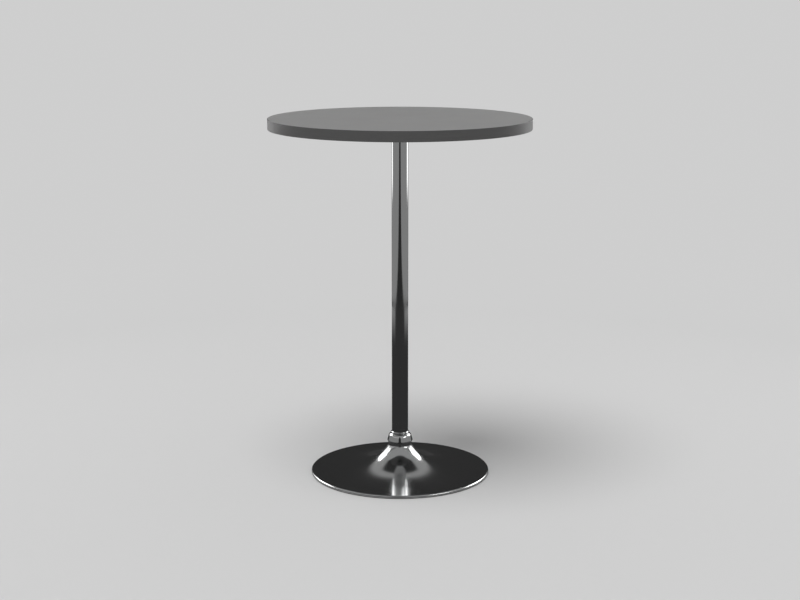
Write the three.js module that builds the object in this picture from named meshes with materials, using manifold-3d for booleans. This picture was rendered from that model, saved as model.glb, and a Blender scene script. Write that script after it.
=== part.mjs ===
// Fixed-height round bar table: laminate top, chromed column and spun trumpet base with a ballast plate.
// Millimetres, +Z up, origin on the floor under the column's axis.
import * as THREE from "three";
import { mergeVertices } from "three/addons/utils/BufferGeometryUtils.js";
import Module from "manifold-3d";

const wasm = await Module();
wasm.setup();

// Fits
const fitGap = 0.3; // radial gap between turned neighbours
const ballastGap = 0.8; // from the ballast up to the shell

// Tabletop
const topDiameter = 800;
const coreThickness = 30;
const laminateThickness = 0.8;
const backingThickness = 0.5;
const edgeBandThickness = 2;
const edgeBandChamfer = 0.8;
const pedestalHeight = 1080; // floor to the face that the top lies on

// Mounting plate and its fasteners
const plateDiameter = 240;
const plateThickness = 4;
const boltInset = 20; // from the plate's edge in to the bolts
const boltCount = 4;
const boltDiameter = 6;
const boltLength = 18;
const boltHeadDiameter = 11;
const boltHeadHeight = 3.6;
const boltSocketFlats = 4;
const boltSocketDepth = 2.2;
const boltWasherDiameter = 14;
const boltWasherThickness = 1.6;
const insertDiameter = 10;
const insertLength = 13;
const insertHoleDepth = 15;

// Column and its two spigots
const columnDiameter = 50.8;
const columnWall = 1.5;
const flangeThickness = 6;
const spigotWall = 4;
const socketFlangeDiameter = 66;
const socketSpigotLength = 30;
const hubFlangeDiameter = 84;
const hubSpigotLength = 55;

// Tie rod and its nuts
const rodDiameter = 12;
const rodFloorGap = 1.5;
const rodProud = 2; // below the bottom nut
const nutFlats = 19;
const nutHeight = 10;
const bottomWasherDiameter = 40;
const bottomWasherThickness = 2.5;
const lockWasherDiameter = 21;
const lockWasherThickness = 2;
const lockWasherSplitAngle = THREE.MathUtils.degToRad(14);

// Base shell: a sleeve in the collar, a neck, and a flare that falls to the rolled rim
const baseDiameter = 558;
const shellWall = 1.5;
const neckOffset = 11.8; // from the column's face out to the neck's
const neckHeight = 12.1;
const sleeveHeight = 14;
const coneTopStep = 1; // the cone starts this much wider than the neck
const coneTop = 86;
const discEnd = 9.8; // height of the flare where the rim's roll starts
const flarePower = 0.65; // the flare's height falls with the radius to this power
const rimRadius = 4.6;
const hemRadius = 2;
const hemWidth = 21;

// Collar: a bell over the joint of neck and column
const collarWall = 1.5;
const collarShoulderStep = 1; // beyond the neck, where the shoulder would stand upright
const collarSkirtStep = 2.4; // beyond the neck, at the widest point
const collarRollRadius = 3.6;
const collarRollSweep = THREE.MathUtils.degToRad(80);
const collarSkirtHeight = 5.5;
const collarShoulderHeight = 17;
const collarShoulderEnd = THREE.MathUtils.degToRad(16); // where the shoulder runs into the sloping skirt
const collarLipHeight = 6.5;

// Ballast and floor ring
const ballastInset = 17; // from the rim's outer edge in to the ballast
const ballastThickness = 11; // of the plate round its boss
const ballastBossStep = 8; // from the hub's flange out to the boss's side
const ballastWeb = 5.5; // thickness over the nut's recess
const ballastRecessClearance = 10; // round the bottom washer
const ringThickness = 2;
const ringWidth = 15;

// Facets
const wideSegments = 96;
const baseSegments = 64;
const columnSegments = 48;
const smallSegments = 16;
const boreSegments = 20;
const flareSteps = 16;
const shoulderSteps = 4;
const rollSteps = 3;

const v = (x, y) => new THREE.Vector2(x, y);
const root = new THREE.Group();
root.name = "round_bar_table";

const finishes = {
  laminate: { color: 0x8c8c8b, roughness: 0.6, metalness: 0 },
  edge: { color: 0x7d7d7c, roughness: 0.55, metalness: 0 },
  board: { color: 0xb08f63, roughness: 0.9, metalness: 0 },
  backing: { color: 0x4a4a4a, roughness: 0.7, metalness: 0 },
  chrome: { color: 0xd8dadc, roughness: 0.08, metalness: 1 },
  black: { color: 0x1b1b1c, roughness: 0.55, metalness: 0.3 },
  zinc: { color: 0xa9acaf, roughness: 0.35, metalness: 1 },
  iron: { color: 0x3a3a3c, roughness: 0.85, metalness: 0.6 },
  rubber: { color: 0x161616, roughness: 0.9, metalness: 0 },
};

// Adds a geometry to the table as a named mesh with its own material.
function place(name, geometry, finish) {
  const mesh = new THREE.Mesh(geometry, new THREE.MeshStandardMaterial(finishes[finish]));
  mesh.name = name;
  root.add(mesh);
  return mesh;
}

// Turns a closed outline of (radius, height) points about the Z axis.
function turned(outline, segments) {
  const lathe = new THREE.LatheGeometry([...outline, outline[0]], segments);
  return lathe.rotateX(Math.PI / 2);
}

function ring(inner, outer, bottom, top, segments) {
  return turned([v(inner, bottom), v(outer, bottom), v(outer, top), v(inner, top)], segments);
}

// Solid disc about the Z axis: its outline starts and ends on the axis.
function disc(radius, bottom, top, segments) {
  const outline = [v(0, bottom), v(radius, bottom), v(radius, top), v(0, top)];
  return new THREE.LatheGeometry(outline, segments).rotateX(Math.PI / 2);
}

function prism(flats, bottom, top) {
  const corner = flats / Math.sqrt(3);
  const bar = new THREE.CylinderGeometry(corner, corner, top - bottom, 6);
  return bar.rotateX(Math.PI / 2).translate(0, 0, (bottom + top) / 2);
}

function toSolid(geometry) {
  const bare = geometry.clone().deleteAttribute("normal").deleteAttribute("uv");
  const merged = mergeVertices(bare, 1e-3);
  return new wasm.Manifold(
    new wasm.Mesh({
      numProp: 3,
      vertProperties: merged.attributes.position.array,
      triVerts: new Uint32Array(merged.index.array),
    }),
  );
}

// Cuts every tool out of a body.
function cut(body, tools) {
  const result = tools.reduce((left, tool) => left.subtract(toSolid(tool)), toSolid(body));
  const mesh = result.getMesh();
  const geometry = new THREE.BufferGeometry();
  geometry.setAttribute("position", new THREE.BufferAttribute(mesh.vertProperties, 3));
  geometry.setIndex(new THREE.BufferAttribute(mesh.triVerts, 1));
  const faceted = geometry.toNonIndexed();
  faceted.computeVertexNormals();
  return faceted;
}

// Arc of an ellipse from one angle to another, as points.
function arc(centre, a, b, from, to, steps) {
  return new THREE.EllipseCurve(centre.x, centre.y, a, b, from, to, to < from).getPoints(steps);
}

// Joins stretches of an outline and drops the points that they share.
function joined(...stretches) {
  return stretches.flat().filter((p, i, all) => i === 0 || p.distanceTo(all[i - 1]) > 1e-6);
}

// An outline set back to its right-hand side, with mitred corners.
function setBack(outline, distance) {
  const last = outline.length - 1;
  const normalOf = (p, q) => v(p.y - q.y, q.x - p.x).normalize();
  return outline.map((p, i) => {
    const before = normalOf(outline[Math.max(i - 1, 0)], outline[Math.max(i, 1)]);
    const after = normalOf(outline[Math.min(i, last - 1)], outline[Math.min(i + 1, last)]);
    const mean = before.clone().add(after).normalize();
    return p.clone().addScaledVector(mean, -distance / mean.dot(before));
  });
}

// Closed outline of sheet metal: its outer face from top to bottom, and the same set back by the wall.
function sheet(outer, wall) {
  return [...setBack(outer, wall), ...outer.slice().reverse()];
}

// Where an outline crosses a radius (axis x) or a height (axis y).
function crossing(outline, axis, value) {
  const i = outline.findIndex((p, k) => k > 0 && (p[axis] - value) * (outline[k - 1][axis] - value) <= 0);
  const p = outline[i - 1];
  const q = outline[i];
  return p.clone().lerp(q, (value - p[axis]) / (q[axis] - p[axis]));
}

// Calls make with the place in the row and the position of each bolt on its circle.
function aroundBolts(make) {
  for (let i = 0; i < boltCount; i++) {
    const angle = ((i + 0.5) / boltCount) * 2 * Math.PI;
    const x = (plateDiameter / 2 - boltInset) * Math.cos(angle);
    const y = (plateDiameter / 2 - boltInset) * Math.sin(angle);
    make(i + 1, x, y);
  }
}

// One copy of a geometry at every bolt.
function atBolts(geometry) {
  const copies = [];
  aroundBolts((i, x, y) => copies.push(geometry.clone().translate(x, y, 0)));
  return copies;
}

const coreBottom = pedestalHeight + backingThickness;
const coreTop = coreBottom + coreThickness;
const tableHeight = coreTop + laminateThickness;
const boardRadius = topDiameter / 2 - edgeBandThickness - fitGap;
const plateBottom = pedestalHeight - plateThickness;
const bottomNut = rodFloorGap + rodProud;
const lockBottom = bottomNut + nutHeight;
const bottomWasher = lockBottom + lockWasherThickness;
const recessTop = bottomWasher + bottomWasherThickness;
const ballastTop = recessTop + ballastWeb;
const columnRadius = columnDiameter / 2;
const boreRadius = rodDiameter / 2 + fitGap;
const columnBottom = ballastTop + flangeThickness;
const columnTop = plateBottom - flangeThickness;
const neckRadius = columnRadius + neckOffset;
const neckTop = coneTop + neckHeight;
const baseRadius = baseDiameter / 2;

function buildTabletop() {
  const holeRadius = insertDiameter / 2 + fitGap;
  const holes = disc(holeRadius, plateBottom, pedestalHeight + insertHoleDepth, boreSegments);
  place("tabletop_core", cut(disc(boardRadius, coreBottom, coreTop, wideSegments), atBolts(holes)), "board");
  place("top_laminate", disc(boardRadius, coreTop, tableHeight, wideSegments), "laminate");
  const backing = disc(boardRadius, pedestalHeight, coreBottom, wideSegments);
  place("backing_laminate", cut(backing, atBolts(holes)), "backing");
  const bandInner = topDiameter / 2 - edgeBandThickness;
  const bandOuter = topDiameter / 2;
  const band = [
    v(bandInner, pedestalHeight),
    v(bandOuter - edgeBandChamfer, pedestalHeight),
    v(bandOuter, pedestalHeight + edgeBandChamfer),
    v(bandOuter, tableHeight - edgeBandChamfer),
    v(bandOuter - edgeBandChamfer, tableHeight),
    v(bandInner, tableHeight),
  ];
  place("edge_band", turned(band, wideSegments), "edge");
}

function buildMount() {
  const boltHole = boltDiameter / 2 + fitGap;
  const plate = ring(boreRadius, plateDiameter / 2, plateBottom, pedestalHeight, baseSegments);
  const plateHole = disc(boltHole, plateBottom - plateThickness, coreTop, smallSegments);
  place("mounting_plate", cut(plate, atBolts(plateHole)), "black");
  const washerBottom = plateBottom - boltWasherThickness;
  const headBottom = washerBottom - boltHeadHeight;
  const bolt = [
    v(0, headBottom),
    v(boltHeadDiameter / 2, headBottom),
    v(boltHeadDiameter / 2, washerBottom),
    v(boltDiameter / 2, washerBottom),
    v(boltDiameter / 2, washerBottom + boltLength),
    v(0, washerBottom + boltLength),
  ];
  const boltBody = new THREE.LatheGeometry(bolt, smallSegments).rotateX(Math.PI / 2);
  const key = prism(boltSocketFlats, headBottom - boltSocketDepth, headBottom + boltSocketDepth);
  const insertTop = pedestalHeight + insertLength;
  aroundBolts((i, x, y) => {
    const move = (geometry) => geometry.translate(x, y, 0);
    const washer = ring(boltHole, boltWasherDiameter / 2, washerBottom, plateBottom, smallSegments);
    const insert = ring(boltHole, insertDiameter / 2, pedestalHeight, insertTop, smallSegments);
    place(`plate_bolt_${i}`, move(cut(boltBody, [key])), "zinc");
    place(`plate_washer_${i}`, move(washer), "zinc");
    place(`insert_nut_${i}`, move(insert), "zinc");
  });
}

// Flanged spigots centre the column: the hub in its lower end, the socket in its upper end.
function buildColumn() {
  const inner = columnRadius - columnWall;
  place("column_tube", ring(inner, columnRadius, columnBottom, columnTop, columnSegments), "chrome");
  const spigotRadius = inner - fitGap;
  const spigotInner = spigotRadius - spigotWall;
  const hub = [
    v(boreRadius, ballastTop),
    v(hubFlangeDiameter / 2, ballastTop),
    v(hubFlangeDiameter / 2, columnBottom),
    v(spigotRadius, columnBottom),
    v(spigotRadius, columnBottom + hubSpigotLength),
    v(spigotInner, columnBottom + hubSpigotLength),
    v(spigotInner, columnBottom),
    v(boreRadius, columnBottom),
  ];
  place("base_hub", turned(hub, columnSegments), "black");
  const socket = [
    v(spigotInner, columnTop - socketSpigotLength),
    v(spigotRadius, columnTop - socketSpigotLength),
    v(spigotRadius, columnTop),
    v(socketFlangeDiameter / 2, columnTop),
    v(socketFlangeDiameter / 2, plateBottom),
    v(spigotInner, plateBottom),
  ];
  place("plate_socket", turned(socket, columnSegments), "black");
}

function nut(bottom) {
  const top = bottom + nutHeight;
  const bore = disc(boreRadius, bottom - nutHeight, top + nutHeight, boreSegments);
  return cut(prism(nutFlats, bottom, top), [bore]);
}

// Flat washer with one gap in its round.
function splitWasher(bottom) {
  const outer = lockWasherDiameter / 2;
  const half = lockWasherSplitAngle / 2;
  const shape = new THREE.Shape();
  shape.absarc(0, 0, outer, half, 2 * Math.PI - half, false);
  shape.absarc(0, 0, boreRadius, 2 * Math.PI - half, half, true);
  shape.closePath();
  const options = { depth: lockWasherThickness, bevelEnabled: false, curveSegments: boreSegments };
  return new THREE.ExtrudeGeometry(shape, options).translate(0, 0, bottom);
}

function buildTieRod() {
  const rodTop = pedestalHeight - fitGap;
  place("tie_rod", disc(rodDiameter / 2, rodFloorGap, rodTop, boreSegments), "zinc");
  place("top_nut", nut(plateBottom - nutHeight), "zinc");
  const washer = ring(boreRadius, bottomWasherDiameter / 2, bottomWasher, recessTop, columnSegments);
  place("bottom_washer", washer, "zinc");
  place("lock_washer", splitWasher(lockBottom), "zinc");
  place("bottom_nut", nut(bottomNut), "zinc");
}

// Outer face of the flare: a trumpet whose height falls with a power of the radius.
function flareOutline() {
  const start = neckRadius + coneTopStep;
  const end = baseRadius - rimRadius;
  const level = (radius) => Math.pow(start / radius, flarePower);
  const drop = (coneTop - discEnd) / (1 - level(end));
  const outline = [];
  for (let i = 0; i <= flareSteps; i += 1) {
    const radius = start * Math.pow(end / start, i / flareSteps);
    outline.push(v(radius, discEnd + drop * (level(radius) - level(end))));
  }
  return outline;
}

// Outer face of the spun shell, from the turned-in top down to the hem under the rim.
function shellOutline() {
  const sleeveRadius = neckRadius - shellWall;
  const sleeveTop = neckTop + sleeveHeight;
  const hemEnd = v(baseRadius - hemWidth, ringThickness);
  const rimCentre = v(baseRadius - rimRadius, discEnd - rimRadius);
  const hemCentre = v(baseRadius - hemRadius, ringThickness + hemRadius);
  return joined(
    [v(columnRadius + fitGap, sleeveTop), v(sleeveRadius, sleeveTop), v(sleeveRadius, neckTop)],
    [v(neckRadius, neckTop), v(neckRadius, coneTop + coneTopStep)],
    flareOutline(),
    arc(rimCentre, rimRadius, rimRadius, Math.PI / 2, 0, rollSteps),
    arc(hemCentre, hemRadius, hemRadius, 0, -Math.PI / 2, rollSteps),
    [hemEnd],
  );
}

// Outer face of the bell, from its lip down to the roll at its foot.
function collarOutline() {
  const lip = columnRadius + fitGap + collarWall;
  const shoulderWidth = neckRadius + collarShoulderStep - lip;
  const roll = v(neckRadius + collarSkirtStep - collarRollRadius, neckTop + fitGap + collarRollRadius);
  const shoulder = v(lip, roll.y + collarSkirtHeight);
  const shoulderTop = shoulder.y + collarShoulderHeight;
  return joined(
    [v(lip, shoulderTop + collarLipHeight)],
    arc(shoulder, shoulderWidth, collarShoulderHeight, Math.PI / 2, collarShoulderEnd, shoulderSteps),
    arc(roll, collarRollRadius, collarRollRadius, 0, -collarRollSweep, rollSteps),
  );
}

// The ballast is a plate with a boss under the hub; its outer part follows the flare's underside.
function ballastOutline() {
  const floor = ringThickness + shellWall;
  const edge = baseRadius - ballastInset;
  const plateTop = floor + ballastThickness;
  const recessRadius = bottomWasherDiameter / 2 + ballastRecessClearance;
  const bossRadius = hubFlangeDiameter / 2 + ballastBossStep;
  const under = setBack(flareOutline(), shellWall + ballastGap);
  const followed = under.filter((p) => p.x < edge && p.y < plateTop);
  return [
    v(boreRadius, recessTop),
    v(recessRadius, recessTop),
    v(recessRadius, floor),
    v(edge, floor),
    crossing(under, "x", edge),
    ...followed.reverse(),
    crossing(under, "y", plateTop),
    v(bossRadius, plateTop),
    v(bossRadius, ballastTop),
    v(boreRadius, ballastTop),
  ];
}

function buildBase() {
  place("base_shell", turned(sheet(shellOutline(), shellWall), baseSegments), "chrome");
  place("collar", turned(sheet(collarOutline(), collarWall), columnSegments), "chrome");
  place("ballast_plate", turned(ballastOutline(), baseSegments), "iron");
  const ringOuter = baseRadius - hemRadius;
  place("rubber_ring", ring(ringOuter - ringWidth, ringOuter, 0, ringThickness, baseSegments), "rubber");
}

buildTabletop();
buildMount();
buildColumn();
buildTieRod();
buildBase();

export default root;
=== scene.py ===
"""Round bar table on a chromed column and trumpet base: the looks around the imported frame.

Metres, +Z up, with the origin on the floor under the column.
"""
import math

import bmesh
import bpy
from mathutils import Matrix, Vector


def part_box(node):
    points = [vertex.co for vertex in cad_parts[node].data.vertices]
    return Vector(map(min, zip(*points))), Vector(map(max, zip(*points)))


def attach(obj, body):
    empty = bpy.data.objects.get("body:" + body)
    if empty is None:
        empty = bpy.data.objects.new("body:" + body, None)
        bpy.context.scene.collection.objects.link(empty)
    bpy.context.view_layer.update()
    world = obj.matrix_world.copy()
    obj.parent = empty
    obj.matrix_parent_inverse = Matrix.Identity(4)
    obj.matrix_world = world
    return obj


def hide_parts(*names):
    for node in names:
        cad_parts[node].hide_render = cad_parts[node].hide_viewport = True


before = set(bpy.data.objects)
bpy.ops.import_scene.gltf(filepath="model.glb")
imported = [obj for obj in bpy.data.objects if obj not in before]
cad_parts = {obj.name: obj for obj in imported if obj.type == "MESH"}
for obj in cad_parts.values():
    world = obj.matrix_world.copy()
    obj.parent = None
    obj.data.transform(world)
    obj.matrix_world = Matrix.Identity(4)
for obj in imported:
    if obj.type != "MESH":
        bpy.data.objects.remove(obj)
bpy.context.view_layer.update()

MM = 0.001
QUARTER_DEG = 90.0
FIT_GAP = 0.3 * MM
TUBE_WALL = 1.5 * MM

# Camera, set so that the top, the rim and the base take the places of their ellipses
CAMERA_PLACE = (0.0, -4.761, 1.547)
CAMERA_PITCH_DEG = 11.83
CAMERA_LENS = 70.82
CAMERA_REACH = 400.0
SENSOR_WIDTH = 36.0

# Tabletop
BAND_THICKNESS = 2.0 * MM
BAND_EDGE = 0.9 * MM
SEAM = 0.12 * MM
SHEET_EDGE = 0.1 * MM

# Mounting plate and fasteners
PLATE_EDGE = 0.5 * MM
PLATE_BORE = 6.3 * MM
SPIGOT_WALL = 4.0 * MM
TUBE_EDGE = 0.3 * MM
BOLT_COUNT = 4
BOLT_EDGE = 1.3 * MM
BOLT_SEAT_EDGE = 0.2 * MM
BOLT_SHANK = 3.0 * MM
BOLT_TIP = 0.5 * MM
BOLT_SOCKET_FLATS = 4.0 * MM
BOLT_SOCKET_DEPTH = 2.2 * MM
WASHER_EDGE = 0.3 * MM
WELD_WIDTH = 4.5 * MM
WELD_RIPPLES = 84
WELD_RIPPLE = 0.5 * MM
WELD_RIPPLE_STEPS = 6
WELD_ARC_STEPS = 6

# Tie rod and nut; the thread's depth over one pitch is a slope between a flat crest and a flat root
THREAD_PITCH = 1.75 * MM
THREAD_DEPTH = 0.95 * MM
THREAD_SLOPE = 2.6
THREAD_CREST_SHARE = 0.3
THREAD_LENGTH = 27.0 * MM
THREAD_SIDES = 48
THREAD_STEPS = 8
ROD_CHAMFER = 1.0 * MM
HEX_SIDES = 6
NUT_FLATS = 19.0 * MM
NUT_CHAMFER_DEG = 30.0
NUT_CHAMFER_RISE = 1.25
NUT_FACE_INSET = 0.2 * MM
NUT_BORE_FLARE = 2.0 * MM
NUT_BORE_FLARE_DEPTH = 0.8 * MM
NUT_BORE_OVERRUN = 1.0 * MM
LOCK_SPLIT_DEG = 14.0
LOCK_STEPS = 90

# Base shell
SHELL_WALL = 1.5 * MM
NECK_OFFSET = 11.8 * MM
NECK_HEIGHT = 12.1 * MM
SLEEVE_HEIGHT = 12.0 * MM
CONE_TOP_STEP = 1.0 * MM
CONE_TOP = 86.0 * MM
NECK_TOP = CONE_TOP + NECK_HEIGHT
DISC_END = 9.8 * MM
FLARE_POWER = 0.65
RIM_RADIUS = 4.6 * MM
HEM_RADIUS = 2.0 * MM
HEM_WIDTH = 21.0 * MM
RING_THICKNESS = 2.0 * MM
RING_WIDTH = 15.0 * MM
RING_EDGE = 0.4 * MM

# Collar
COLLAR_WALL = 1.5 * MM
COLLAR_SHOULDER_STEP = -0.1 * MM
COLLAR_SKIRT_STEP = 2.4 * MM
COLLAR_ROLL_RADIUS = 3.6 * MM
COLLAR_ROLL_START_DEG = 16.0
COLLAR_ROLL_SWEEP_DEG = 80.0
COLLAR_SKIRT_HEIGHT = 5.5 * MM
COLLAR_SHOULDER_HEIGHT = 17.0 * MM
COLLAR_SHOULDER_END_DEG = 28.0
COLLAR_LIP_HEIGHT = 6.5 * MM
COLLAR_BEAD_RADIUS = 2.4 * MM
COLLAR_BEAD_END_DEG = 60.0

# Mesh fineness: sides of turned pieces, steps along their outlines, the extra ring beside a round edge,
# and how near to each other or to the axis two points are the same
FINE = 256
MEDIUM = 128
WASHER_SIDES = 96
SMALL = 64
FLARE_STEPS = 96
CURVE_STEPS = 20
BEAD_STEPS = 12
ROLL_STEPS = 10
FILLET_STEPS = 8
HEM_STEPS = 6
ROUND_STEPS = 5
SUPPORT = 0.25 * MM
SAME_PLACE = 1e-7
ON_AXIS = 1e-9

# Angles from which an edge is sharp
SHARP_DEG = 40.0
SHARP_WELD_DEG = 60.0
SHARP_THREAD_DEG = 50.0
SHARP_PRISM_DEG = 20.0
SHARP_NUT_DEG = 18.0


def point(r, z):
    return Vector((r, z))


def arc(centre, a, b, start_deg, end_deg, steps=CURVE_STEPS):
    """Points of an ellipse with half axes a and b, from one angle to another."""
    made = []
    for i in range(steps + 1):
        angle = math.radians(start_deg + (end_deg - start_deg) * i / steps)
        made.append(centre + point(a * math.cos(angle), b * math.sin(angle)))
    return made


def joined(*stretches):
    """One outline from several, without the points that they share."""
    made = []
    for stretch in stretches:
        for p in stretch:
            if not made or (p - made[-1]).length > SAME_PLACE:
                made.append(p)
    return made


def set_back(outline, distance):
    """The outline moved to its right-hand side, with mitred corners."""
    normals = []
    for p, q in zip(outline, outline[1:]):
        normals.append(point(p.y - q.y, q.x - p.x).normalized())
    made = []
    for i, p in enumerate(outline):
        before = normals[max(i - 1, 0)]
        after = normals[min(i, len(normals) - 1)]
        mean = (before + after).normalized()
        made.append(p - mean * (distance / mean.dot(before)))
    return made


def corner_arc(before, here, after, radius):
    """Arc in place of a corner, with one more point beside each of its ends."""
    back = before - here
    on = after - here
    half = back.angle(on) / 2
    reach = radius / math.tan(half)
    start = here + back.normalized() * reach
    end = here + on.normalized() * reach
    inward = (back.normalized() + on.normalized()).normalized()
    middle = here + inward * (radius / math.sin(half))
    spoke = start - middle
    sweep = (end - middle).angle_signed(spoke)
    made = [start + back.normalized() * SUPPORT]
    for k in range(ROUND_STEPS + 1):
        angle = sweep * k / ROUND_STEPS
        turned_x = spoke.x * math.cos(angle) - spoke.y * math.sin(angle)
        turned_y = spoke.x * math.sin(angle) + spoke.y * math.cos(angle)
        made.append(middle + point(turned_x, turned_y))
    made.append(end + on.normalized() * SUPPORT)
    return made


def rounded(corners):
    """Closed outline with arcs in place of corners; each corner is (r, z, radius)."""
    places = [point(r, z) for r, z, _ in corners]
    made = []
    for i, (_, _, radius) in enumerate(corners):
        if radius > 0:
            after = places[(i + 1) % len(places)]
            made += corner_arc(places[i - 1], places[i], after, radius)
        else:
            made.append(places[i])
    return made


def ring_outline(inner, outer, low, high, edge):
    """Closed outline of a flat ring with all its edges rounded alike."""
    return rounded([(inner, low, edge), (outer, low, edge), (outer, high, edge), (inner, high, edge)])


def shaded(mesh, sharp_deg):
    """Smooth faces, with edges sharp from an angle on."""
    mesh.shade_smooth()
    mesh.set_sharp_from_angle(angle=math.radians(sharp_deg))


def finish_mesh(name, bm, sharp_deg=SHARP_DEG):
    """Turns a bmesh into an object with smooth faces and sharp corners."""
    bmesh.ops.remove_doubles(bm, verts=bm.verts, dist=SAME_PLACE)
    bmesh.ops.recalc_face_normals(bm, faces=bm.faces)
    mesh = bpy.data.meshes.new(name)
    bm.to_mesh(mesh)
    bm.free()
    shaded(mesh, sharp_deg)
    piece = bpy.data.objects.new(name, mesh)
    bpy.context.scene.collection.objects.link(piece)
    return piece


def around(r, z, angle):
    """Place at a radius and height, turned about the Z axis."""
    return (r * math.cos(angle), r * math.sin(angle), z)


def vertex_ring(bm, r, z, segments):
    """Vertices round the Z axis; on the axis they are all the same one."""
    if r < ON_AXIS:
        return [bm.verts.new((0, 0, z))] * segments
    return [bm.verts.new(around(r, z, 2 * math.pi * k / segments)) for k in range(segments)]


def section_at(bm, outline, angle):
    """Vertices of an outline, turned to an angle about the Z axis."""
    return [bm.verts.new(around(p.x, p.y, angle)) for p in outline]


def bridge(bm, loops):
    """Faces between each closed loop of vertices and the next."""
    for one, other in zip(loops, loops[1:]):
        for k in range(len(one)):
            n = (k + 1) % len(one)
            corners = []
            for vert in (one[k], one[n], other[n], other[k]):
                if vert not in corners:
                    corners.append(vert)
            if len(corners) > 2:
                bm.faces.new(corners)


def turned(name, outline, segments=FINE, closed=True):
    """Turns an outline of (radius, height) points about the Z axis."""
    bm = bmesh.new()
    rings = [vertex_ring(bm, p.x, p.y, segments) for p in outline]
    if closed:
        rings.append(rings[0])
    bridge(bm, rings)
    return finish_mesh(name, bm)


def corner_radius(flats):
    """Distance from the axis to a corner of a six-sided bar."""
    return flats / 2 / math.cos(math.pi / HEX_SIDES)


def prism(name, flats, bottom, top):
    """Six-sided bar about the Z axis."""
    bm = bmesh.new()
    rings = [vertex_ring(bm, corner_radius(flats), z, HEX_SIDES) for z in (bottom, top)]
    for ring in rings:
        bm.faces.new(ring)
    bridge(bm, rings)
    return finish_mesh(name, bm, SHARP_PRISM_DEG)


def cut(piece, tool, operation="DIFFERENCE"):
    """Cuts the piece's mesh with a tool, or keeps what both share, and deletes the tool."""
    boolean = piece.modifiers.new("cut", "BOOLEAN")
    boolean.operation = operation
    boolean.solver = "EXACT"
    boolean.object = tool
    bpy.context.view_layer.update()
    graph = bpy.context.evaluated_depsgraph_get()
    mesh = bpy.data.meshes.new_from_object(piece.evaluated_get(graph))
    piece.modifiers.clear()
    piece.data = mesh
    bpy.data.objects.remove(tool)


def moved(piece, place):
    """Moves the piece sideways, from the table's axis to a place."""
    for vert in piece.data.vertices:
        vert.co += Vector((place.x, place.y, 0))
    return piece


# Materials

# Scales of object coordinates
EVEN = (1, 1, 1)
FLAT = (1, 1, 0)
BAND_LINES = (12, 12, 1500)
COLUMN_LINES = (900, 900, 3)
COLLAR_LINES = (60, 60, 700)
CHIPS = (1, 1, 2.5)

CHIP_SCALE = 320.0
CHIP_ROUGHNESS = 0.9
SPUN_RINGS_SCALE = 420.0
LAMINATE_SPECULAR = 0.35
BAND_SPECULAR = 0.12
CHROME_COLOUR = (0.56, 0.565, 0.565)
CHROME_RELIEF = 0.02 * MM

# Tones are pairs of a place on the ramp and a colour; those of iron say place, level and warmth
TONE_START = 0.3
TONE_END = 0.7
ZINC_TONES = [(0.25, (0.5, 0.51, 0.54)), (0.55, (0.6, 0.6, 0.61)), (0.8, (0.62, 0.6, 0.55))]
CHIP_TONES = [(0.0, (0.3, 0.19, 0.09)), (0.5, (0.45, 0.31, 0.17)), (1.0, (0.6, 0.45, 0.28))]
IRON_TONES = [(0.3, 0.03, 0.0), (0.6, 0.05, 0.03), (0.8, 0.075, 0.08)]


def node_material(name):
    material = bpy.data.materials.new(name)
    material.use_nodes = True
    tree = material.node_tree
    return material, tree, tree.nodes["Principled BSDF"]


def object_coordinates(tree, scale=EVEN):
    place = tree.nodes.new("ShaderNodeTexCoord")
    mapping = tree.nodes.new("ShaderNodeMapping")
    mapping.inputs["Scale"].default_value = scale
    tree.links.new(place.outputs["Object"], mapping.inputs["Vector"])
    return mapping.outputs["Vector"]


def axis_distance(tree):
    length = tree.nodes.new("ShaderNodeVectorMath")
    length.operation = "LENGTH"
    tree.links.new(object_coordinates(tree, FLAT), length.inputs[0])
    return length.outputs["Value"]


def noise(tree, vector, scale, detail, roughness=0.55):
    texture = tree.nodes.new("ShaderNodeTexNoise")
    texture.inputs["Scale"].default_value = scale
    texture.inputs["Detail"].default_value = detail
    texture.inputs["Roughness"].default_value = roughness
    tree.links.new(vector, texture.inputs["Vector"])
    return texture.outputs["Fac"]


def ramp(tree, value, stops):
    """Maps a value to colours; each stop is (place, colour)."""
    made = tree.nodes.new("ShaderNodeValToRGB")
    elements = made.color_ramp.elements
    for element, (place, colour) in zip(elements, (stops[0], stops[-1])):
        element.position = place
        element.color = (*colour, 1.0)
    for place, colour in stops[1:-1]:
        elements.new(place).color = (*colour, 1.0)
    tree.links.new(value, made.inputs["Fac"])
    return made.outputs["Color"]


def remap(tree, value, low, high):
    """Maps 0..1 to low..high."""
    made = tree.nodes.new("ShaderNodeMapRange")
    made.inputs["To Min"].default_value = low
    made.inputs["To Max"].default_value = high
    tree.links.new(value, made.inputs["Value"])
    return made.outputs["Result"]


def bump(tree, shader, height, strength, distance):
    made = tree.nodes.new("ShaderNodeBump")
    made.inputs["Strength"].default_value = strength
    made.inputs["Distance"].default_value = distance
    tree.links.new(height, made.inputs["Height"])
    tree.links.new(made.outputs["Normal"], shader.inputs["Normal"])


def grey(level, warmth=0.0):
    """Grey of a level; warmth shifts it from blue to red."""
    return (level * (1 + warmth), level, level * (1 - warmth))


def two_greys(dark, pale, warmth=0.0):
    """Tones from a darker to a paler grey."""
    return [(TONE_START, grey(dark, warmth)), (TONE_END, grey(pale, warmth))]


def grained_material(name, greys, roughness, strength, distance, scale, detail, stretch=EVEN):
    """One fine noise that sets the tone, the roughness and the relief alike."""
    material, tree, shader = node_material(name)
    grain = noise(tree, object_coordinates(tree, stretch), scale, detail)
    tree.links.new(ramp(tree, grain, greys), shader.inputs["Base Color"])
    tree.links.new(remap(tree, grain, *roughness), shader.inputs["Roughness"])
    bump(tree, shader, grain, strength, distance)
    return material


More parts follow.
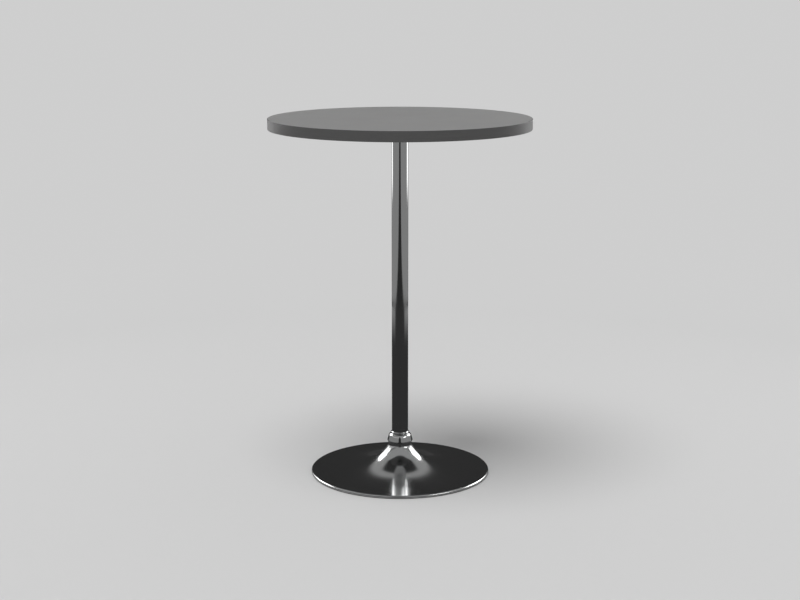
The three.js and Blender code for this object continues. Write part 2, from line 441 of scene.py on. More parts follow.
def laminate_material():
    """Matte grey sheet: a very fine pebble and faint cloudy wear in its sheen."""
    material, tree, shader = node_material("grey_laminate")
    even = object_coordinates(tree)
    speckle = noise(tree, even, scale=1400.0, detail=2.0)
    tones = two_greys(dark=0.224, pale=0.253, warmth=0.004)
    tree.links.new(ramp(tree, speckle, tones), shader.inputs["Base Color"])
    cloud = noise(tree, even, scale=7.0, detail=5.0)
    tree.links.new(remap(tree, cloud, low=0.5, high=0.62), shader.inputs["Roughness"])
    shader.inputs["Specular IOR Level"].default_value = LAMINATE_SPECULAR
    pebble = noise(tree, even, scale=1100.0, detail=3.0)
    bump(tree, shader, pebble, strength=0.12, distance=0.1 * MM)
    return material


def chrome_material(name, roughness, cloud_scale):
    """Polished chrome plate with faint clouds in its sheen; the caller adds its polishing lines."""
    material, tree, shader = node_material(name)
    shader.inputs["Base Color"].default_value = (*CHROME_COLOUR, 1.0)
    shader.inputs["Metallic"].default_value = 1.0
    cloud = noise(tree, object_coordinates(tree), cloud_scale, detail=3.0)
    tree.links.new(remap(tree, cloud, *roughness), shader.inputs["Roughness"])
    return material, tree, shader


def lined_chrome_material(name, stretch, strength):
    """Chrome with the faint lines that its polishing left."""
    material, tree, shader = chrome_material(name, roughness=(0.06, 0.1), cloud_scale=22.0)
    lines = noise(tree, object_coordinates(tree, stretch), scale=1.0, detail=3.0)
    bump(tree, shader, lines, strength, CHROME_RELIEF)
    return material


def spun_chrome_material():
    """Chrome on spun steel: faint rings about the axis."""
    material, tree, shader = chrome_material("spun_chrome", roughness=(0.12, 0.16), cloud_scale=16.0)
    rings = tree.nodes.new("ShaderNodeTexNoise")
    rings.noise_dimensions = "1D"
    rings.inputs["Scale"].default_value = SPUN_RINGS_SCALE
    rings.inputs["Detail"].default_value = 2.0
    tree.links.new(axis_distance(tree), rings.inputs["W"])
    bump(tree, shader, rings.outputs["Fac"], strength=0.06, distance=CHROME_RELIEF)
    return material


def zinc_material():
    """Bright zinc plate with faint blue and yellow clouds."""
    material, tree, shader = node_material("bright_zinc")
    even = object_coordinates(tree)
    cloud = noise(tree, even, scale=180.0, detail=4.0)
    tree.links.new(ramp(tree, cloud, ZINC_TONES), shader.inputs["Base Color"])
    shader.inputs["Metallic"].default_value = 1.0
    tree.links.new(remap(tree, cloud, low=0.24, high=0.4), shader.inputs["Roughness"])
    grain = noise(tree, even, scale=900.0, detail=2.0)
    bump(tree, shader, grain, strength=0.1, distance=0.05 * MM)
    return material


def iron_material():
    """Rough casting under dark primer."""
    material, tree, shader = node_material("cast_iron_primer")
    even = object_coordinates(tree)
    grain = noise(tree, even, scale=260.0, detail=6.0, roughness=0.65)
    cloud = noise(tree, even, scale=14.0, detail=4.0)
    tones = [(place, grey(level, warmth)) for place, level, warmth in IRON_TONES]
    tree.links.new(ramp(tree, cloud, tones), shader.inputs["Base Color"])
    tree.links.new(remap(tree, grain, low=0.65, high=0.9), shader.inputs["Roughness"])
    bump(tree, shader, grain, strength=0.6, distance=0.4 * MM)
    return material


def chipboard_material():
    """Pressed chips: cells of a few tans, flatter than they are wide."""
    material, tree, shader = node_material("chipboard")
    cells = tree.nodes.new("ShaderNodeTexVoronoi")
    cells.inputs["Scale"].default_value = CHIP_SCALE
    tree.links.new(object_coordinates(tree, CHIPS), cells.inputs["Vector"])
    split = tree.nodes.new("ShaderNodeSeparateColor")
    tree.links.new(cells.outputs["Color"], split.inputs["Color"])
    tree.links.new(ramp(tree, split.outputs["Red"], CHIP_TONES), shader.inputs["Base Color"])
    shader.inputs["Roughness"].default_value = CHIP_ROUGHNESS
    bump(tree, shader, cells.outputs["Distance"], strength=0.4, distance=0.3 * MM)
    return material


def band_material():
    """Extruded plastic band: fine lines along its length; its grey, darker than the top's, is partly its
    own tone and partly painted shade of the rim's front.
    """
    material = grained_material(
        "edge_band",
        # Darker than the top partly as painted shade of the rim's front
        two_greys(dark=0.088, pale=0.102, warmth=0.004),
        roughness=(0.52, 0.62),
        strength=0.1,
        distance=0.05 * MM,
        scale=1.0,
        detail=3.0,
        stretch=BAND_LINES,
    )
    shader = material.node_tree.nodes["Principled BSDF"]
    shader.inputs["Specular IOR Level"].default_value = BAND_SPECULAR
    return material


def backing_material():
    """Plain dark sheet under the board."""
    return grained_material(
        "backing_sheet",
        two_greys(dark=0.05, pale=0.066),
        roughness=(0.6, 0.75),
        strength=0.15,
        distance=0.1 * MM,
        scale=900.0,
        detail=3.0,
    )


def paint_material():
    """Black powder coat with its fine orange peel."""
    return grained_material(
        "black_powder_coat",
        two_greys(dark=0.016, pale=0.024),
        roughness=(0.38, 0.5),
        strength=0.25,
        distance=0.1 * MM,
        scale=520.0,
        detail=2.0,
    )


def rubber_material():
    """Black rubber with a dull grain."""
    return grained_material(
        "black_rubber",
        two_greys(dark=0.01, pale=0.018),
        roughness=(0.7, 0.88),
        strength=0.3,
        distance=0.1 * MM,
        scale=700.0,
        detail=3.0,
    )


materials = {
    "laminate": laminate_material(),
    "band": band_material(),
    "backing": backing_material(),
    "chipboard": chipboard_material(),
    "column_chrome": lined_chrome_material("column_chrome", COLUMN_LINES, strength=0.05),
    "collar_chrome": lined_chrome_material("collar_chrome", COLLAR_LINES, strength=0.04),
    "spun_chrome": spun_chrome_material(),
    "paint": paint_material(),
    "zinc": zinc_material(),
    "iron": iron_material(),
    "rubber": rubber_material(),
}


# Pieces

def dress(piece, finish, slot, *nodes):
    """Gives a piece its material and the table's motion; it stands for the CAD nodes named. The slot is
    not used.
    """
    piece.data.materials.clear()
    piece.data.materials.append(materials[finish])
    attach(piece, "root")
    if nodes:
        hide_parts(*nodes)


def carry(node, finish):
    """Gives a CAD node that stays its better material."""
    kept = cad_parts[node]
    if not kept.material_slots:
        kept.data.materials.append(materials[finish])
    for holder in kept.material_slots:
        holder.material = materials[finish]


def span(node):
    """Greatest radius, lowest and highest height of a CAD node about the table's axis."""
    low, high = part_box(node)
    return (high.x - low.x) / 2, low.z, high.z


def build_tabletop():
    """Band and sheets; the board stays as it is."""
    build_band()
    build_sheets()
    carry("tabletop_core", "chipboard")


def build_band():
    """Edge band round the board and both sheets."""
    outer, bottom, top = span("edge_band")
    inner = outer - BAND_THICKNESS
    band = rounded([
        (inner, bottom, 0),
        (outer, bottom, BAND_EDGE),
        (outer, top, BAND_EDGE),
        (inner, top, SHEET_EDGE),
    ])
    dress(turned("top_edge_band", band), "band", "edge_band", "edge_band")


def build_sheets():
    """Laminate over the board and backing under it, a seam away from the band."""
    radius = span("edge_band")[0] - BAND_THICKNESS - SEAM
    for name, node, finish, slot in (
        ("top_laminate_sheet", "top_laminate", "laminate", "grey_laminate"),
        ("under_laminate_sheet", "backing_laminate", "backing", "backing_sheet"),
    ):
        dress(turned(name, sheet_outline(node, radius), closed=False), finish, slot, node)


def sheet_outline(node, radius):
    """Sheet on one face of the board, with its outer arris eased."""
    _, low, high = span(node)
    eased = radius - SHEET_EDGE
    if node == "top_laminate":
        side = [point(radius, low), point(radius, high - SHEET_EDGE)]
        arris = [point(eased, high), point(eased - SUPPORT, high)]
        return joined([point(0, low)], side, arris, [point(0, high)])
    arris = [point(eased - SUPPORT, low), point(eased, low)]
    side = [point(radius, low + SHEET_EDGE), point(radius, high)]
    return joined([point(0, low)], arris, side, [point(0, high)])


def build_mount():
    """What holds the column to the top; the inserts stay as they are."""
    build_plate()
    build_socket()
    for i in range(1, BOLT_COUNT + 1):
        build_bolt(i)
        build_washer(i)
        carry(f"insert_nut_{i}", "zinc")


def build_plate():
    """Round steel plate under the top."""
    radius, bottom, top = span("mounting_plate")
    plate = ring_outline(PLATE_BORE, radius, bottom, top, PLATE_EDGE)
    dress(turned("top_mounting_plate", plate), "paint", "black_painted_steel", "mounting_plate")


def build_socket():
    """Flanged spigot in the column's upper end, welded to the plate."""
    flange, low, high = span("plate_socket")
    column_radius, _, shoulder = span("column_tube")
    spigot = column_radius - TUBE_WALL - FIT_GAP
    inner = spigot - SPIGOT_WALL
    socket = rounded([
        (inner, low, PLATE_EDGE),
        (spigot, low, PLATE_EDGE),
        (spigot, shoulder, 0),
        (flange, shoulder, PLATE_EDGE),
        (flange, high, 0),
        (inner, high, 0),
    ])
    dress(turned("column_top_socket", socket, MEDIUM), "paint", "black_painted_steel", "plate_socket")
    build_weld(flange, high)


def build_weld(radius, top):
    """Fillet weld between socket and plate, with the ripples that its run left."""
    bm = bmesh.new()
    steps = WELD_RIPPLES * WELD_RIPPLE_STEPS
    toe = point(radius, top)
    sections = []
    for k in range(steps):
        swell = abs(math.sin(math.pi * k / WELD_RIPPLE_STEPS))
        size = WELD_WIDTH - WELD_RIPPLE * (1 - swell)
        outline = [toe] + arc(toe, size, size, 0, -QUARTER_DEG, WELD_ARC_STEPS)
        sections.append(section_at(bm, outline, 2 * math.pi * k / steps))
    bridge(bm, sections + sections[:1])
    dress(finish_mesh("socket_weld_bead", bm, SHARP_WELD_DEG), "paint", "black_painted_steel")


def build_bolt(i):
    """Button head bolt with its hexagon socket, head down."""
    low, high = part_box(f"plate_bolt_{i}")
    head = (high.x - low.x) / 2
    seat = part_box(f"plate_washer_{i}")[0].z
    outline = rounded([
        (0, low.z, 0),
        (head, low.z, BOLT_EDGE),
        (head, seat, BOLT_SEAT_EDGE),
        (BOLT_SHANK, seat, 0),
        (BOLT_SHANK, high.z, BOLT_TIP),
        (0, high.z, 0),
    ])
    bolt = turned(f"mount_bolt_{i}", outline, SMALL, closed=False)
    cut(bolt, prism("key", BOLT_SOCKET_FLATS, low.z - BOLT_SOCKET_DEPTH, low.z + BOLT_SOCKET_DEPTH))
    shaded(bolt.data, SHARP_DEG)
    dress(moved(bolt, (low + high) / 2), "zinc", "zinc_steel", f"plate_bolt_{i}")


def build_washer(i):
    """Flat washer under a bolt's head."""
    low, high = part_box(f"plate_washer_{i}")
    ring = ring_outline(BOLT_SHANK + FIT_GAP, (high.x - low.x) / 2, low.z, high.z, WASHER_EDGE)
    washer = turned(f"mount_washer_{i}", ring, SMALL)
    dress(moved(washer, (low + high) / 2), "zinc", "zinc_steel", f"plate_washer_{i}")


def build_column():
    """Chromed tube; the hub and the nut at its ends stay as they are."""
    radius, bottom, top = span("column_tube")
    inner = radius - TUBE_WALL
    tube = rounded([
        (inner, bottom, 0),
        (radius, bottom, TUBE_EDGE),
        (radius, top, TUBE_EDGE),
        (inner, top, 0),
    ])
    dress(turned("chromed_column", tube), "column_chrome", "chrome", "column_tube")
    carry("base_hub", "paint")
    carry("top_nut", "zinc")


def thread_radius(crest, rise, turn):
    """Radius of the rod at a height above its end and a share of a turn."""
    phase = (rise / THREAD_PITCH - turn) % 1.0
    slope = abs(phase - 0.5) * THREAD_SLOPE - THREAD_CREST_SHARE
    depth = THREAD_DEPTH * min(1.0, max(0.0, slope))
    chamfer = max(0.0, ROD_CHAMFER - rise)
    return min(crest - depth, crest - chamfer)


def build_rod():
    """Tie rod, threaded at its lower end and plain above."""
    radius, bottom, top = span("tie_rod")
    bm = bmesh.new()
    rows = int(THREAD_LENGTH / THREAD_PITCH * THREAD_STEPS)
    rings = []
    for row in range(rows + 1):
        rise = THREAD_LENGTH * row / rows
        ring = []
        for k in range(THREAD_SIDES):
            turn = k / THREAD_SIDES
            place = around(thread_radius(radius, rise, turn), bottom + rise, 2 * math.pi * turn)
            ring.append(bm.verts.new(place))
        rings.append(ring)
    rings.append(vertex_ring(bm, radius, top, THREAD_SIDES))
    bridge(bm, rings)
    bm.faces.new(rings[0])
    bm.faces.new(rings[-1])
    dress(finish_mesh("threaded_tie_rod", bm, SHARP_THREAD_DEG), "zinc", "zinc_steel", "tie_rod")


def build_rod_end():
    """Nut and washers on the rod, under the ballast."""
    rod = span("tie_rod")[0]
    build_bottom_nut(rod)
    build_bottom_washer(rod + FIT_GAP)
    build_lock_washer(rod + FIT_GAP)


def build_bottom_nut(rod):
    """Nut with chamfered corners and a flared bore."""
    _, low, high = span("bottom_nut")
    face = NUT_FLATS / 2 - NUT_FACE_INSET
    corner = corner_radius(NUT_FLATS)
    rise = (corner - NUT_FLATS / 2) * math.tan(math.radians(NUT_CHAMFER_DEG)) * NUT_CHAMFER_RISE
    hull = turned("nut_hull", [
        point(0, low),
        point(face, low),
        point(corner + NUT_FACE_INSET, low + rise),
        point(corner + NUT_FACE_INSET, high - rise),
        point(face, high),
        point(0, high),
    ], SMALL, closed=False)
    nut = prism("tie_rod_nut", NUT_FLATS, low, high)
    cut(nut, hull, operation="INTERSECT")
    bore = turned("nut_bore", [
        point(0, low - NUT_BORE_OVERRUN),
        point(rod + NUT_BORE_FLARE, low - NUT_BORE_OVERRUN),
        point(rod + FIT_GAP, low + NUT_BORE_FLARE_DEPTH),
        point(rod + FIT_GAP, high + NUT_BORE_OVERRUN),
        point(0, high + NUT_BORE_OVERRUN),
    ], SMALL, closed=False)
    cut(nut, bore)
    shaded(nut.data, SHARP_NUT_DEG)
    dress(nut, "zinc", "zinc_steel", "bottom_nut")


def build_bottom_washer(hole):
    """Large flat washer in the ballast's recess."""
    outer, low, high = span("bottom_washer")
    ring = ring_outline(hole, outer, low, high, WASHER_EDGE)
    dress(turned("tie_rod_washer", ring, WASHER_SIDES), "zinc", "zinc_steel", "bottom_washer")


def build_lock_washer(hole):
    """Split ring: its outline swept round the axis, but for the gap."""
    low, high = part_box("lock_washer")
    outline = ring_outline(hole, (high.y - low.y) / 2, low.z, high.z, WASHER_EDGE)
    bm = bmesh.new()
    start = math.radians(LOCK_SPLIT_DEG / 2)
    sections = []
    for k in range(LOCK_STEPS + 1):
        angle = start + (2 * math.pi - 2 * start) * k / LOCK_STEPS
        sections.append(section_at(bm, outline, angle))
    bridge(bm, sections)
    bm.faces.new(sections[0])
    bm.faces.new(sections[-1])
    dress(finish_mesh("tie_rod_lock_washer", bm), "zinc", "zinc_steel", "lock_washer")


def flare_outline(base_radius, neck_radius):
    """Trumpet whose height falls with a power of the radius."""
    start = neck_radius + CONE_TOP_STEP
    end = base_radius - RIM_RADIUS
    last = (start / end) ** FLARE_POWER
    drop = (CONE_TOP - DISC_END) / (1 - last)
    made = []
    for i in range(FLARE_STEPS + 1):
        r = start * (end / start) ** (i / FLARE_STEPS)
        made.append(point(r, DISC_END + drop * ((start / r) ** FLARE_POWER - last)))
    return made


def shell_outline(base_radius, column_radius, neck_radius):
    """Upper face of the shell: inner sleeve, neck, fillet, flare, rolled rim and hem."""
    sleeve = neck_radius - SHELL_WALL
    sleeve_top = NECK_TOP + SLEEVE_HEIGHT
    rim = point(base_radius - RIM_RADIUS, DISC_END - RIM_RADIUS)
    hem = point(base_radius - HEM_RADIUS, RING_THICKNESS + HEM_RADIUS)
    flare = flare_outline(base_radius, neck_radius)
    turn = math.atan2(flare[1].x - flare[0].x, flare[0].y - flare[1].y)
    fillet = CONE_TOP_STEP / (1 - math.cos(turn))
    hollow = point(neck_radius + fillet, CONE_TOP + fillet * math.sin(turn))
    foot_of_neck = 2 * QUARTER_DEG
    return joined(
        [point(column_radius + FIT_GAP, sleeve_top), point(sleeve, sleeve_top)],
        [point(sleeve, NECK_TOP), point(neck_radius, NECK_TOP)],
        arc(hollow, fillet, fillet, foot_of_neck, foot_of_neck + math.degrees(turn), FILLET_STEPS),
        flare,
        arc(rim, RIM_RADIUS, RIM_RADIUS, QUARTER_DEG, 0, FILLET_STEPS),
        arc(hem, HEM_RADIUS, HEM_RADIUS, 0, -QUARTER_DEG, HEM_STEPS),
        [point(base_radius - HEM_WIDTH, RING_THICKNESS)],
    )


def bead_outline(bore, lip, top):
    """Bead on the collar's lip, from the column round to the bell."""
    middle = lip - COLLAR_BEAD_RADIUS * math.cos(math.radians(COLLAR_BEAD_END_DEG))
    centre = point(middle, top - COLLAR_BEAD_RADIUS)
    start = math.degrees(math.acos((bore - middle) / COLLAR_BEAD_RADIUS))
    return arc(centre, COLLAR_BEAD_RADIUS, COLLAR_BEAD_RADIUS, start, -COLLAR_BEAD_END_DEG, BEAD_STEPS)


def collar_outline(column_radius, neck_radius):
    """Outer face of the collar: bead, bell, sloping skirt and rolled foot."""
    bore = column_radius + FIT_GAP
    lip = bore + COLLAR_WALL
    shoulder_width = neck_radius + COLLAR_SHOULDER_STEP - lip
    roll_x = neck_radius + COLLAR_SKIRT_STEP - COLLAR_ROLL_RADIUS
    roll = point(roll_x, NECK_TOP + FIT_GAP + COLLAR_ROLL_RADIUS)
    shoulder = point(lip, roll.y + COLLAR_SKIRT_HEIGHT)
    bead = bead_outline(bore, lip, shoulder.y + COLLAR_SHOULDER_HEIGHT + COLLAR_LIP_HEIGHT)
    bell = arc(shoulder, shoulder_width, COLLAR_SHOULDER_HEIGHT, QUARTER_DEG, COLLAR_SHOULDER_END_DEG)
    foot_end = -COLLAR_ROLL_SWEEP_DEG
    foot = arc(roll, COLLAR_ROLL_RADIUS, COLLAR_ROLL_RADIUS, COLLAR_ROLL_START_DEG, foot_end, ROLL_STEPS)
    skirt = (foot[0] - bell[-1]).normalized() * SUPPORT
    return joined(bead, bell, [bell[-1] + skirt, foot[0] - skirt], foot)


def walled(name, face, wall):
    """Turned sheet metal: its upper or outer face and, a wall behind it, the other one."""
    return turned(name, set_back(face, wall) + face[::-1])


def build_base():
    """Shell, collar and rubber ring; the ballast stays as it is."""
    column_radius = span("column_tube")[0]
    neck_radius = column_radius + NECK_OFFSET
    shell = shell_outline(span("base_shell")[0], column_radius, neck_radius)
    dress(walled("spun_base_shell", shell, SHELL_WALL), "spun_chrome", "chrome", "base_shell")
    collar = collar_outline(column_radius, neck_radius)
    dress(walled("bell_collar", collar, COLLAR_WALL), "collar_chrome", "chrome", "collar")
    carry("ballast_plate", "iron")
    build_floor_ring()


def build_floor_ring():
    """Rubber ring under the hem, on the floor."""
    outer, low, high = span("rubber_ring")
    ring = ring_outline(outer - RING_WIDTH, outer, low, high, RING_EDGE)
    dress(turned("rubber_floor_ring", ring), "rubber", "rubber", "rubber_ring")


# Studio

BACKGROUND = 0.62
AMBIENT = 0.45
FLOOR_SIZE = 240.0
FLOOR_ROUGHNESS = 0.9
FLOOR_SPECULAR = 0.1
FLOOR_EVEN_START = 2.2
FLOOR_EVEN_END = 7.0

# What only the chrome sees: a dark floor that grows pale towards a round wall, and a ceiling
CHROME_FLOOR = 0.045
CHROME_FLOOR_START = 0.283
CHROME_FLOOR_END = 0.295
CHROME_FLOOR_PALE_START = 1.7

# Closed off by the floor ring: a glow under the base, so that its underside shows from below
UNDER_GLOW = 0.5
UNDER_GLOW_END = 0.255

WALL_RADIUS = 2.5
WALL_HEIGHT = 6.0
CEILING_HEIGHT = 2.6

# Dark board in the pale ceiling: its sides spread up to a shoulder, then close in towards the back
BOARD = 0.03
BOARD_EDGE = 0.1
BOARD_FRONT = -0.08
BOARD_BACK = 2.32
BOARD_HALF_FRONT = 1.04
BOARD_SPREAD = 0.28
BOARD_HALF_BACK = 1.53
BOARD_TAPER = 0.38

# The wall: azimuths in degrees, 0 on the camera's side and growing to +X; heights of its soft edges
WALL_SOFT_DEG = 6.0
WALL_DARK = 0.035
PANEL_SECTOR = (-153, 151)
PANEL = 0.33
PANEL_TOP = 0.6
PANEL_FOOT = (0.0, 0.04)
PANEL_HEAD = (1.6, 1.9)
GAP_AZIMUTH_DEG = -2.0
GAP_FOOT_LIFT = 0.137
GAP_SPREAD = (7.5, 11.0)

# Pale band over it: beyond the panels its foot hangs lower by HEAD_LEAN per degree off HEAD_LEVEL_DEG
HEAD = 0.38
HEAD_FOOT = (1.81, 2.19)
HEAD_LEVEL_DEG = 172.0
HEAD_LEAN = 0.027

# Painted highlights on the wall, which light nothing and show only in the chrome: two stepped bright
# strips behind the table, and a small bright spot at the right front
LOW_RISE = (0.43, 0.63)
MIDDLE_RISE = (0.8, 1.05)
HIGH_RISE = (1.2, 1.4)
MIDDLE_FALL = (1.65, 1.8)
HIGH_FALL = (1.95, 2.2)
LEFT_STRIP = (-149, -114)
LEFT_WIDE_STRIP = (-149, -98)
RIGHT_STRIP = (106, 147)
RIGHT_WIDE_STRIP = (96, 147)
RIGHT_HIGHLIGHT_SPOT = (36, 72)
STRIP_FOOT_LEVEL = 2.0
STRIP_LEVEL = 8.0
SPOT_HIGHLIGHT_LEVEL = 6.0
PAINTED_HIGHLIGHT_PATCHES = (
    (LEFT_STRIP, LOW_RISE, HIGH_FALL, STRIP_FOOT_LEVEL),
    (RIGHT_STRIP, LOW_RISE, HIGH_FALL, STRIP_FOOT_LEVEL),
    (LEFT_STRIP, MIDDLE_RISE, HIGH_FALL, STRIP_LEVEL),
    (RIGHT_STRIP, MIDDLE_RISE, HIGH_FALL, STRIP_LEVEL),
    (LEFT_WIDE_STRIP, HIGH_RISE, MIDDLE_FALL, STRIP_LEVEL),
    (RIGHT_WIDE_STRIP, HIGH_RISE, MIDDLE_FALL, STRIP_LEVEL),
    (RIGHT_HIGHLIGHT_SPOT, HIGH_RISE, MIDDLE_FALL, SPOT_HIGHLIGHT_LEVEL),
)

# Wide sun in place of a ceiling of soft boxes: it falls alike on the top and the floor
SUN_SHARE = 0.55
SUN_ELEVATION_DEG = 72.0
SUN_AZIMUTH_DEG = -35.0
SUN_WIDTH_DEG = 38.0

# Turns Y round, so that azimuths are counted from the camera's side
FRONT_FIRST = (1, -1, 1)


def feed(tree, socket, value):
    """Gives a socket its value, a number or another node's output."""
    if isinstance(value, (int, float)):
        socket.default_value = value
    else:
        tree.links.new(value, socket)


def calc(tree, operation, *values):
    """Math node; each value is a number or another node's output."""
    made = tree.nodes.new("ShaderNodeMath")
    made.operation = operation
    for socket, value in zip(made.inputs, values):
        feed(tree, socket, value)
    return made.outputs["Value"]


def times(tree, value, *others):
    """Product of several values."""
    for other in others:
        value = calc(tree, "MULTIPLY", value, other)
    return value


def fade(tree, value, start, end):
    """Smooth step from 0 at start to 1 at end."""
    made = tree.nodes.new("ShaderNodeMapRange")
    made.interpolation_type = "SMOOTHSTEP"
    made.inputs["From Min"].default_value = start
    made.inputs["From Max"].default_value = end
    tree.links.new(value, made.inputs["Value"])
    return made.outputs["Result"]


def inverse(tree, value):
    return calc(tree, "SUBTRACT", 1.0, value)


def blended(tree, share, first, second):
    made = tree.nodes.new("ShaderNodeMixShader")
    tree.links.new(share, made.inputs["Fac"])
    tree.links.new(first, made.inputs[1])
    tree.links.new(second, made.inputs[2])
    return made.outputs["Shader"]


def glow(tree, level):
    """Even neutral light of a level, a number or another node's output."""
    made = tree.nodes.new("ShaderNodeEmission")
    feed(tree, made.inputs["Strength"], level)
    return made.outputs["Emission"]


def build_glowing(name, outline, level_of):
    """Turned piece of the studio that only the chrome sees; a function of its nodes gives its level."""
    piece = turned(name, outline, closed=False)
    piece.visible_camera = False
    piece.visible_diffuse = False
    piece.visible_transmission = False
    piece.visible_shadow = False
    material, tree, _ = node_material(name)
    tree.links.new(glow(tree, level_of(tree)), tree.nodes["Material Output"].inputs["Surface"])
    piece.data.materials.append(material)


def wall_place(tree):
    """Azimuth in degrees and height of a place on the wall or the floor."""
    split = tree.nodes.new("ShaderNodeSeparateXYZ")
    tree.links.new(object_coordinates(tree, FRONT_FIRST), split.inputs["Vector"])
    turn = calc(tree, "ARCTAN2", split.outputs["X"], split.outputs["Y"])
    return calc(tree, "DEGREES", turn), split.outputs["Z"]


def beside_gap(tree, azimuth, height):
    """0 in the dark gap before the table, which widens towards the floor, and 1 beside it."""
    off = calc(tree, "ABSOLUTE", calc(tree, "SUBTRACT", azimuth, GAP_AZIMUTH_DEG))
    spread = times(tree, off, calc(tree, "ADD", height, GAP_FOOT_LIFT))
    return fade(tree, spread, *GAP_SPREAD)


def sector(tree, azimuth, start, end):
    """1 within a range of azimuths, with soft edges."""
    rise = fade(tree, azimuth, start, start + WALL_SOFT_DEG)
    fall = inverse(tree, fade(tree, azimuth, end - WALL_SOFT_DEG, end))
    return times(tree, rise, fall)


def between_heights(tree, height, foot, head):
    """1 from a soft foot up to a soft head; each is a pair of heights."""
    above = fade(tree, height, *foot)
    return times(tree, above, inverse(tree, fade(tree, height, *head)))


def floor_reflection(tree, distance):
    """What the chrome sees of the floor: dark near the table, pale towards the wall but for the gap."""
    pale = fade(tree, distance, CHROME_FLOOR_PALE_START, WALL_RADIUS)
    pale = times(tree, pale, beside_gap(tree, *wall_place(tree)))
    return glow(tree, calc(tree, "MULTIPLY_ADD", pale, PANEL - CHROME_FLOOR, CHROME_FLOOR))


def floor_material():
    """Matte near the table, an even tone far off, and clear from below."""
    material, tree, shader = node_material("studio_floor")
    shader.inputs["Base Color"].default_value = (*grey(BACKGROUND), 1.0)
    shader.inputs["Roughness"].default_value = FLOOR_ROUGHNESS
    shader.inputs["Specular IOR Level"].default_value = FLOOR_SPECULAR
    path = tree.nodes.new("ShaderNodeLightPath")
    distance = axis_distance(tree)
    direct = inverse(tree, path.outputs["Is Diffuse Ray"])
    far = fade(tree, distance, FLOOR_EVEN_START, FLOOR_EVEN_END)
    even = times(tree, far, direct)
    surface = blended(tree, even, shader.outputs["BSDF"], glow(tree, BACKGROUND))
    beyond_base = fade(tree, distance, CHROME_FLOOR_START, CHROME_FLOOR_END)
    mirrored = times(tree, beyond_base, path.outputs["Is Glossy Ray"])
    surface = blended(tree, mirrored, surface, floor_reflection(tree, distance))
    under = calc(tree, "LESS_THAN", distance, UNDER_GLOW_END)
    under = times(tree, under, inverse(tree, path.outputs["Is Camera Ray"]))
    surface = blended(tree, under, surface, glow(tree, UNDER_GLOW))
    geometry = tree.nodes.new("ShaderNodeNewGeometry")
    clear = tree.nodes.new("ShaderNodeBsdfTransparent")
    surface = blended(tree, geometry.outputs["Backfacing"], surface, clear.outputs["BSDF"])
    tree.links.new(surface, tree.nodes["Material Output"].inputs["Surface"])
    return material


def build_floor():
    """Plain pale floor, far wider than the picture."""
    mesh = bpy.data.meshes.new("studio_floor")
    half = FLOOR_SIZE / 2
    corners = [(-half, -half, 0), (half, -half, 0), (half, half, 0), (-half, half, 0)]
    mesh.from_pydata(corners, [], [(0, 1, 2, 3)])
    floor = bpy.data.objects.new("studio_floor", mesh)
    bpy.context.scene.collection.objects.link(floor)
    mesh.materials.append(floor_material())


def panel_level(tree, azimuth, height):
    """Panels before the table, brighter from mid height on, parted by the dark gap."""
    rise = fade(tree, height, *MIDDLE_RISE)
    return times(
        tree,
        calc(tree, "MULTIPLY_ADD", rise, PANEL_TOP - PANEL, PANEL),
        sector(tree, azimuth, *PANEL_SECTOR),
        beside_gap(tree, azimuth, height),
        between_heights(tree, height, PANEL_FOOT, PANEL_HEAD),
    )


def head_level(tree, azimuth, height):
    """Pale band over the wall, whose foot leans beyond the panels."""
    beyond = inverse(tree, sector(tree, azimuth, *PANEL_SECTOR))
    off = calc(tree, "SUBTRACT", HEAD_LEVEL_DEG, calc(tree, "ABSOLUTE", azimuth))
    lean = times(tree, off, HEAD_LEAN, beyond)
    band = fade(tree, calc(tree, "ADD", height, lean), *HEAD_FOOT)
    return times(tree, band, HEAD)


def wall_level(tree):
    """The brightest of dark ground, panels, head band and the painted highlight patches."""
    azimuth, height = wall_place(tree)
    level = calc(tree, "MAXIMUM", head_level(tree, azimuth, height), WALL_DARK)
    level = calc(tree, "MAXIMUM", panel_level(tree, azimuth, height), level)
    # Painted highlights: bright patches that give the chrome its streaks and spots
    for azimuths, foot, head, strength in PAINTED_HIGHLIGHT_PATCHES:
        in_heights = between_heights(tree, height, foot, head)
        patch = times(tree, in_heights, strength, sector(tree, azimuth, *azimuths))
        level = calc(tree, "MAXIMUM", level, patch)
    return level


def ceiling_level(tree):
    """Pale outside the dark board; the greatest of four sides says how far outside."""
    split = tree.nodes.new("ShaderNodeSeparateXYZ")
    tree.links.new(object_coordinates(tree), split.inputs["Vector"])
    across = calc(tree, "ABSOLUTE", split.outputs["X"])
    along = split.outputs["Y"]
    beyond = 0.0
    for place, limit in (
        (times(tree, along, -1.0), -BOARD_FRONT),
        (along, BOARD_BACK),
        (calc(tree, "MULTIPLY_ADD", along, -BOARD_SPREAD, across), BOARD_HALF_FRONT),
        (calc(tree, "MULTIPLY_ADD", along, BOARD_TAPER, across), BOARD_HALF_BACK),
    ):
        side = fade(tree, place, limit - BOARD_EDGE / 2, limit + BOARD_EDGE / 2)
        beyond = calc(tree, "MAXIMUM", side, beyond)
    return calc(tree, "MULTIPLY_ADD", beyond, HEAD - BOARD, BOARD)


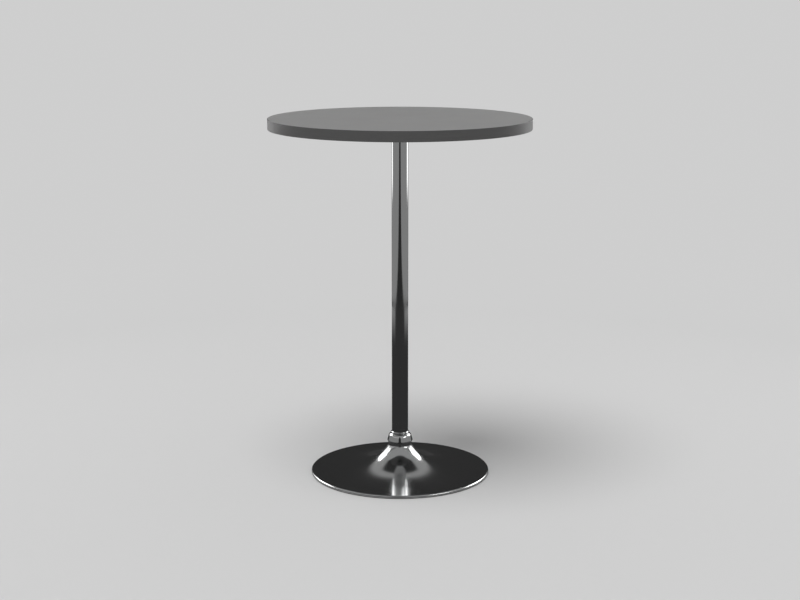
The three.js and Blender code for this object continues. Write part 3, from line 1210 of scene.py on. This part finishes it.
def build_reflections():
    """Round wall and ceiling for the chrome."""
    wall = [point(WALL_RADIUS, 0), point(WALL_RADIUS, WALL_HEIGHT)]
    build_glowing("reflection_wall", wall, wall_level)
    ceiling = [point(0, CEILING_HEIGHT), point(WALL_RADIUS, CEILING_HEIGHT)]
    build_glowing("reflection_ceiling", ceiling, ceiling_level)


def build_world():
    """Even light on the object; the pale background in the picture and in the chrome."""
    world = bpy.data.worlds.new("studio")
    bpy.context.scene.world = world
    world.use_nodes = True
    tree = world.node_tree
    tree.nodes.clear()
    path = tree.nodes.new("ShaderNodeLightPath")
    levels = []
    for strength in (AMBIENT, BACKGROUND):
        made = tree.nodes.new("ShaderNodeBackground")
        made.inputs["Color"].default_value = (*grey(1), 1.0)
        made.inputs["Strength"].default_value = strength
        levels.append(made.outputs["Background"])
    surface, shown = levels
    for ray in ("Is Glossy Ray", "Is Transmission Ray", "Is Camera Ray"):
        surface = blended(tree, path.outputs[ray], surface, shown)
    output = tree.nodes.new("ShaderNodeOutputWorld")
    tree.links.new(surface, output.inputs["Surface"])


def build_lights():
    """The one lamp: a wide sun that the chrome doesn't show."""
    lamp = bpy.data.lights.new("wide_sun", "SUN")
    lamp.energy = SUN_SHARE * math.pi / math.sin(math.radians(SUN_ELEVATION_DEG))
    lamp.angle = math.radians(SUN_WIDTH_DEG)
    holder = bpy.data.objects.new("wide_sun", lamp)
    bpy.context.scene.collection.objects.link(holder)
    tilt = math.radians(QUARTER_DEG - SUN_ELEVATION_DEG)
    holder.rotation_euler = (tilt, 0, math.radians(SUN_AZIMUTH_DEG))
    holder.visible_glossy = False


def build_camera():
    """Camera at the picture's viewing angle."""
    camera = bpy.data.cameras.new("photo_camera")
    camera.lens = CAMERA_LENS
    camera.sensor_width = SENSOR_WIDTH
    camera.clip_end = CAMERA_REACH
    holder = bpy.data.objects.new("photo_camera", camera)
    bpy.context.scene.collection.objects.link(holder)
    holder.location = CAMERA_PLACE
    holder.rotation_euler = (math.radians(QUARTER_DEG - CAMERA_PITCH_DEG), 0, 0)
    bpy.context.scene.camera = holder


build_tabletop()
build_mount()
build_column()
build_rod()
build_rod_end()
build_base()
build_floor()
build_reflections()
build_world()
build_lights()
build_camera()
bpy.context.scene.view_settings.view_transform = "Standard"
